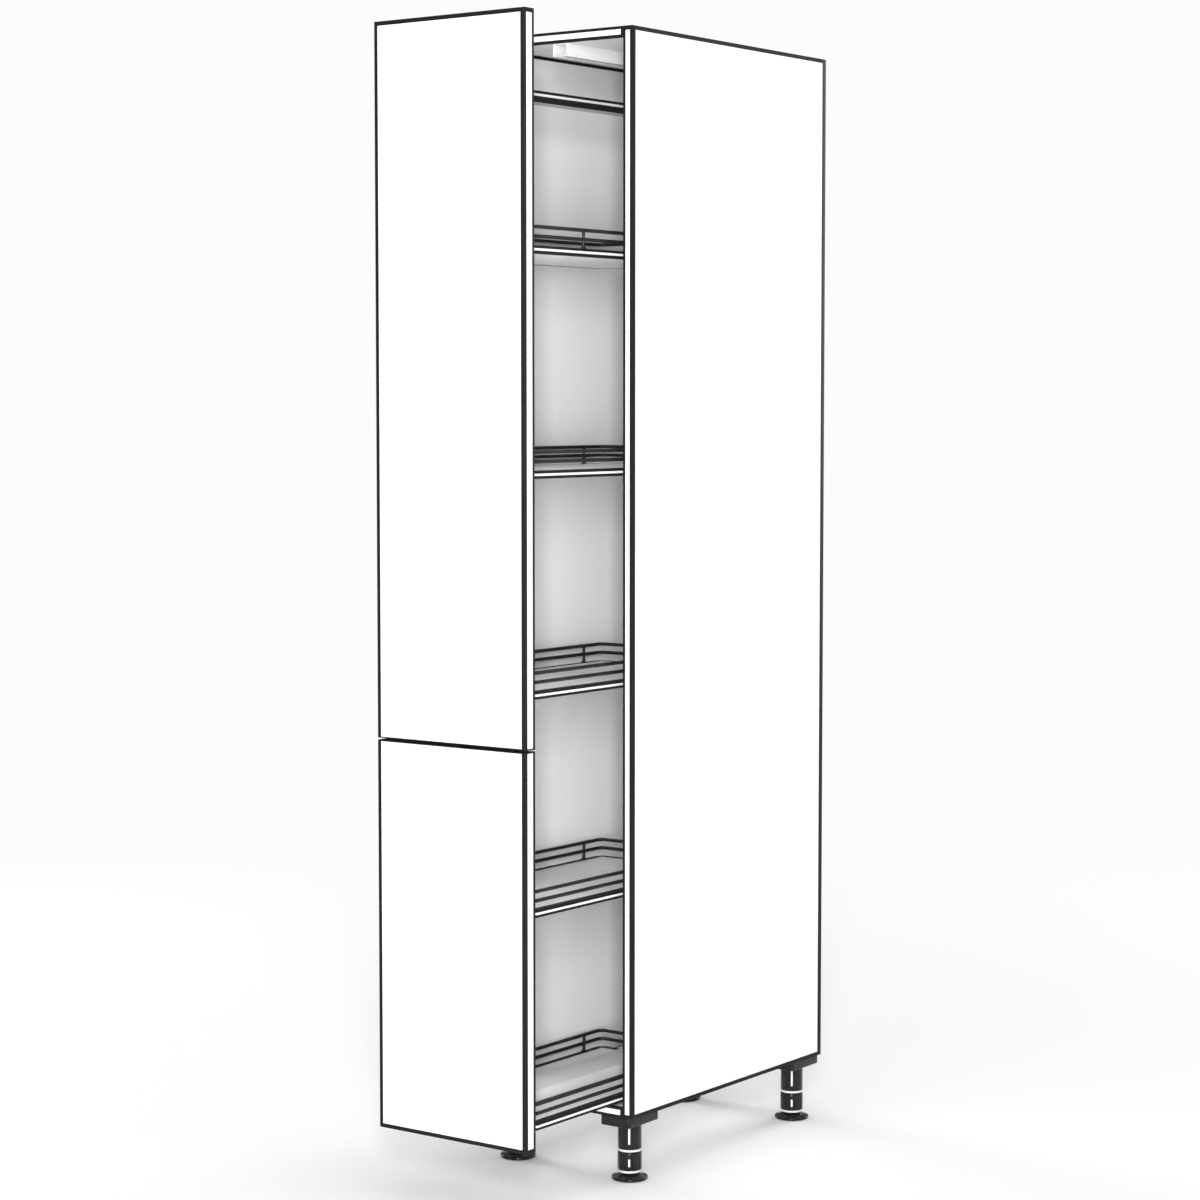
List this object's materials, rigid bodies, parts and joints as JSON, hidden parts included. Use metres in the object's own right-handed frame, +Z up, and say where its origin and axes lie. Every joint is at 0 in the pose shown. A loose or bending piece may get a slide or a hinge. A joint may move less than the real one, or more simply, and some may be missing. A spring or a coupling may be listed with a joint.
{
  "type": "pull out larder unit",
  "caption": "Tall narrow kitchen unit on adjustable feet whose full-height front draws out a central frame with railed trays on a telescopic runner.",
  "frame": {"origin": "on the floor, in the middle of the footprint of the unit as it stands, drawn out 250 mm", "axes": "+Z up, +X to the right seen from the front, -Y towards the user; the pull-out opens along -Y"},
  "size_m": [0.3, 0.857, 1.865],
  "materials": {
    "carcass_board": "white melamine-faced board, satin",
    "front_board": "white lacquered board, satin",
    "back_board": "white coated hardboard, matt",
    "tray_board": "white melamine-faced board, satin",
    "rail_wire": "black powder-coated wire",
    "frame_steel": "light grey powder-coated steel",
    "zinc_steel": "bright zinc-plated sheet steel",
    "foot_plastic": "black moulded plastic",
    "guide_plastic": "dark grey moulded plastic",
    "wheel_nylon": "natural nylon",
    "bumper_rubber": "translucent grey soft rubber"
  },
  "bodies": {
    "carcass": {"side_panel_left": "carcass_board", "side_panel_right": "carcass_board", "top_panel": "carcass_board", "bottom_panel": "carcass_board", "back_panel": "back_board", "foot_mount_front_left": "foot_plastic", "foot_mount_front_right": "foot_plastic", "foot_mount_rear_left": "foot_plastic", "foot_mount_rear_right": "foot_plastic", "runner_fixed_rail": "zinc_steel", "guide_channel": "zinc_steel"},
    "pull_out": {"runner_moving_rail": "zinc_steel", "frame_front_upright": "frame_steel", "frame_rear_upright": "frame_steel", "frame_top_bar": "frame_steel", "frame_bottom_bar": "frame_steel", "guide_carriage": "guide_plastic", "guide_axle": "zinc_steel", "front_lower": "front_board", "front_upper": "front_board", "front_bracket_1": "zinc_steel", "front_bracket_2": "zinc_steel", "front_bracket_3": "zinc_steel", "front_bracket_4": "zinc_steel", "front_bumper_bottom": "bumper_rubber", "front_bumper_top": "bumper_rubber", "tray_1_board_left": "tray_board", "tray_1_board_right": "tray_board", "tray_1_saddle": "frame_steel", "tray_1_gallery": "rail_wire", "tray_2_board": "tray_board", "tray_2_gallery": "rail_wire", "tray_2_bracket_front": "zinc_steel", "tray_2_bracket_rear": "zinc_steel", "tray_3_board": "tray_board", "tray_3_gallery": "rail_wire", "tray_3_bracket_front": "zinc_steel", "tray_3_bracket_rear": "zinc_steel", "tray_4_board": "tray_board", "tray_4_gallery": "rail_wire", "tray_4_bracket_front": "zinc_steel", "tray_4_bracket_rear": "zinc_steel", "tray_5_board": "tray_board", "tray_5_gallery": "rail_wire", "tray_5_bracket_front": "zinc_steel", "tray_5_bracket_rear": "zinc_steel"},
    "lower_cage": {"runner_lower_cage": "zinc_steel"},
    "middle_rail": {"runner_middle_rail": "zinc_steel"},
    "upper_cage": {"runner_upper_cage": "zinc_steel"},
    "wheel_left": {"guide_wheel_left": "wheel_nylon"},
    "wheel_right": {"guide_wheel_right": "wheel_nylon"},
    "collar_front_left": {"foot_collar_front_left": "foot_plastic"},
    "collar_front_right": {"foot_collar_front_right": "foot_plastic"},
    "collar_rear_left": {"foot_collar_rear_left": "foot_plastic"},
    "collar_rear_right": {"foot_collar_rear_right": "foot_plastic"},
    "disc_front_left": {"foot_disc_front_left": "foot_plastic"},
    "disc_front_right": {"foot_disc_front_right": "foot_plastic"},
    "disc_rear_left": {"foot_disc_rear_left": "foot_plastic"},
    "disc_rear_right": {"foot_disc_rear_right": "foot_plastic"}
  },
  "joints": [
    {"name": "pull_out_slide", "type": "slide", "parent": "carcass", "child": "pull_out", "axis": [0, -1, 0], "range_m": [-0.25, 0.25]},
    {"name": "lower_cage_slide", "type": "slide", "parent": "carcass", "child": "lower_cage", "axis": [0, -1, 0], "range_m": [-0.0625, 0.0625]},
    {"name": "middle_rail_slide", "type": "slide", "parent": "carcass", "child": "middle_rail", "axis": [0, -1, 0], "range_m": [-0.125, 0.125]},
    {"name": "upper_cage_slide", "type": "slide", "parent": "carcass", "child": "upper_cage", "axis": [0, -1, 0], "range_m": [-0.1875, 0.1875]},
    {"name": "wheel_left_spin", "type": "hinge", "parent": "pull_out", "child": "wheel_left", "pos_m": [-0.00705, 0.1375, 1.8382], "axis": [1, 0, 0], "continuous": true},
    {"name": "wheel_right_spin", "type": "hinge", "parent": "pull_out", "child": "wheel_right", "pos_m": [0.00705, 0.1375, 1.8382], "axis": [1, 0, 0], "continuous": true},
    {"name": "collar_front_left_turn", "type": "hinge", "parent": "carcass", "child": "collar_front_left", "pos_m": [-0.116, -0.109, 0.0315], "axis": [0, 0, 1], "range_deg": [0, 3600]},
    {"name": "collar_front_right_turn", "type": "hinge", "parent": "carcass", "child": "collar_front_right", "pos_m": [0.116, -0.109, 0.0315], "axis": [0, 0, 1], "range_deg": [0, 3600]},
    {"name": "collar_rear_left_turn", "type": "hinge", "parent": "carcass", "child": "collar_rear_left", "pos_m": [-0.116, 0.386, 0.0315], "axis": [0, 0, 1], "range_deg": [0, 3600]},
    {"name": "collar_rear_right_turn", "type": "hinge", "parent": "carcass", "child": "collar_rear_right", "pos_m": [0.116, 0.386, 0.0315], "axis": [0, 0, 1], "range_deg": [0, 3600]},
    {"name": "disc_front_left_extend", "type": "slide", "parent": "carcass", "child": "disc_front_left", "axis": [0, 0, -1], "range_m": [0, 0.025]},
    {"name": "disc_front_right_extend", "type": "slide", "parent": "carcass", "child": "disc_front_right", "axis": [0, 0, -1], "range_m": [0, 0.025]},
    {"name": "disc_rear_left_extend", "type": "slide", "parent": "carcass", "child": "disc_rear_left", "axis": [0, 0, -1], "range_m": [0, 0.025]},
    {"name": "disc_rear_right_extend", "type": "slide", "parent": "carcass", "child": "disc_rear_right", "axis": [0, 0, -1], "range_m": [0, 0.025]}
  ],
  "couplings": [
    {"joint": "lower_cage_slide", "follows": "pull_out_slide", "ratio": 0.25},
    {"joint": "middle_rail_slide", "follows": "pull_out_slide", "ratio": 0.5},
    {"joint": "upper_cage_slide", "follows": "pull_out_slide", "ratio": 0.75},
    {"joint": "wheel_left_spin", "follows": "pull_out_slide", "rad_per_m": -142.86},
    {"joint": "wheel_right_spin", "follows": "pull_out_slide", "rad_per_m": -142.86},
    {"joint": "disc_front_left_extend", "follows": "collar_front_left_turn", "m_per_rad": 0.00039788},
    {"joint": "disc_front_right_extend", "follows": "collar_front_right_turn", "m_per_rad": 0.00039788},
    {"joint": "disc_rear_left_extend", "follows": "collar_rear_left_turn", "m_per_rad": 0.00039788},
    {"joint": "disc_rear_right_extend", "follows": "collar_rear_right_turn", "m_per_rad": 0.00039788}
  ]
}
